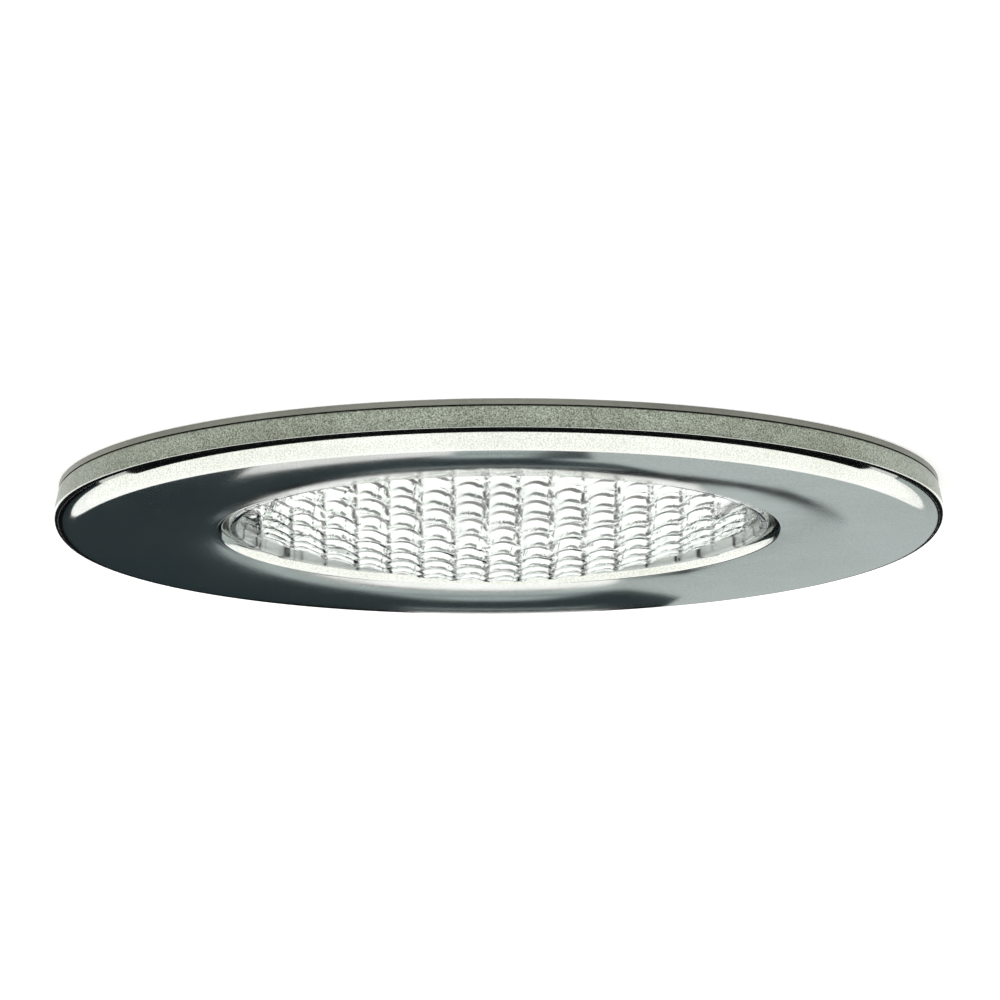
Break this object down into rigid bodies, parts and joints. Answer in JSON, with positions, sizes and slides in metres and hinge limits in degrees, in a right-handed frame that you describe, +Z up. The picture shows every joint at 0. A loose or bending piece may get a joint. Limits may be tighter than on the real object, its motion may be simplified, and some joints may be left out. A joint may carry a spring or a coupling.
{
  "type": "recessed soffit downlight",
  "caption": "Round recessed downlight for a soffit: slim twist-off trim ring, domed prismatic glass, halogen capsule on a holder in a can, junction box and sprung clips.",
  "frame": {"origin": "centre of the seat plane on the soffit, where the flange's top face meets the board", "axes": "+Z points up into the soffit, -Z down to the floor; the two spring clips lie along X and the cable enters from +Y"},
  "size_m": [0.098, 0.068, 0.0404],
  "materials": {
    "nickel_zinc": "nickel plated die casting, satin",
    "satin_nickel": "nickel plated, brushed face, polished edges, grained side",
    "pressed_glass": "clear, pressed lens cells",
    "quartz_glass": "clear",
    "silicone_black": "matte",
    "foam_gasket": "closed-cell, matte",
    "grommet_rubber": "satin",
    "galvanised_steel": "zinc plated",
    "spring_steel": "polished wire",
    "screw_steel": "bright zinc",
    "rivet_aluminium": "plain",
    "can_aluminium": "spun",
    "reflector_white": "gloss white",
    "steatite": "ceramic, matte",
    "brass": "satin",
    "box_plastic": "fine texture",
    "terminal_plastic": "satin",
    "lead_red": "silicone insulation",
    "lead_black": "silicone insulation",
    "silicone_red": "matte",
    "pad_rubber": "matte",
    "pin_nickel": "drawn wire",
    "tungsten": "dark"
  },
  "bodies": {
    "housing": {"mounting_flange": "nickel_zinc", "soffit_gasket": "foam_gasket", "bayonet_ring": "galvanised_steel", "bayonet_screws": "screw_steel", "bezel_seal": "silicone_black", "housing_can": "can_aluminium", "can_rivets": "rivet_aluminium", "reflector": "reflector_white", "lampholder": "steatite", "lampholder_contacts": "brass", "lampholder_bracket": "galvanised_steel", "lampholder_screws": "screw_steel", "bracket_rivets": "rivet_aluminium", "lead_live": "lead_red", "lead_neutral": "lead_black", "lead_bushing": "silicone_red", "junction_box": "box_plastic", "junction_screws": "screw_steel", "terminal_block": "terminal_plastic", "terminal_clamps": "brass", "terminal_screws": "screw_steel", "cord_clamp": "box_plastic", "clamp_screws": "screw_steel", "cable_grommet": "grommet_rubber", "lid_hinge_pin": "pin_nickel", "clip_bracket_left": "galvanised_steel", "clip_pin_left": "screw_steel", "clip_spring_left": "spring_steel", "clip_bracket_right": "galvanised_steel", "clip_pin_right": "screw_steel", "clip_spring_right": "spring_steel", "clip_rivets": "rivet_aluminium"},
    "bezel": {"trim_ring": "satin_nickel", "prismatic_glass": "pressed_glass", "glass_gasket": "silicone_black", "glass_retainer": "spring_steel"},
    "lamp": {"lamp_capsule": "quartz_glass", "lamp_pins": "pin_nickel", "lamp_filament": "tungsten"},
    "clip_left": {"clip_arm_left": "galvanised_steel", "clip_pad_left": "pad_rubber"},
    "clip_right": {"clip_arm_right": "galvanised_steel", "clip_pad_right": "pad_rubber"},
    "lid": {"junction_lid": "box_plastic"}
  },
  "joints": [
    {"name": "bezel_twist", "type": "hinge", "parent": "housing", "child": "bezel", "pos_m": [0, 0, 0], "axis": [0, 0, -1], "range_deg": [0, 22]},
    {"name": "lamp_pull", "type": "slide", "parent": "housing", "child": "lamp", "axis": [0, 1, 0], "range_m": [0, 0.007]},
    {"name": "clip_left_fold", "type": "hinge", "parent": "housing", "child": "clip_left", "pos_m": [-0.0256, 0, 0.012], "axis": [0, 1, 0], "range_deg": [0, 105], "stiffness_Nm_per_rad": 0.06, "springref_deg": -45.84, "deforming": ["clip_spring_left"]},
    {"name": "clip_right_fold", "type": "hinge", "parent": "housing", "child": "clip_right", "pos_m": [0.0256, 0, 0.012], "axis": [0, -1, 0], "range_deg": [0, 105], "stiffness_Nm_per_rad": 0.06, "springref_deg": -45.84, "deforming": ["clip_spring_right"]},
    {"name": "lid_open", "type": "hinge", "parent": "housing", "child": "lid", "pos_m": [0, -0.0184, 0.0322], "axis": [1, 0, 0], "range_deg": [0, 105]}
  ]
}
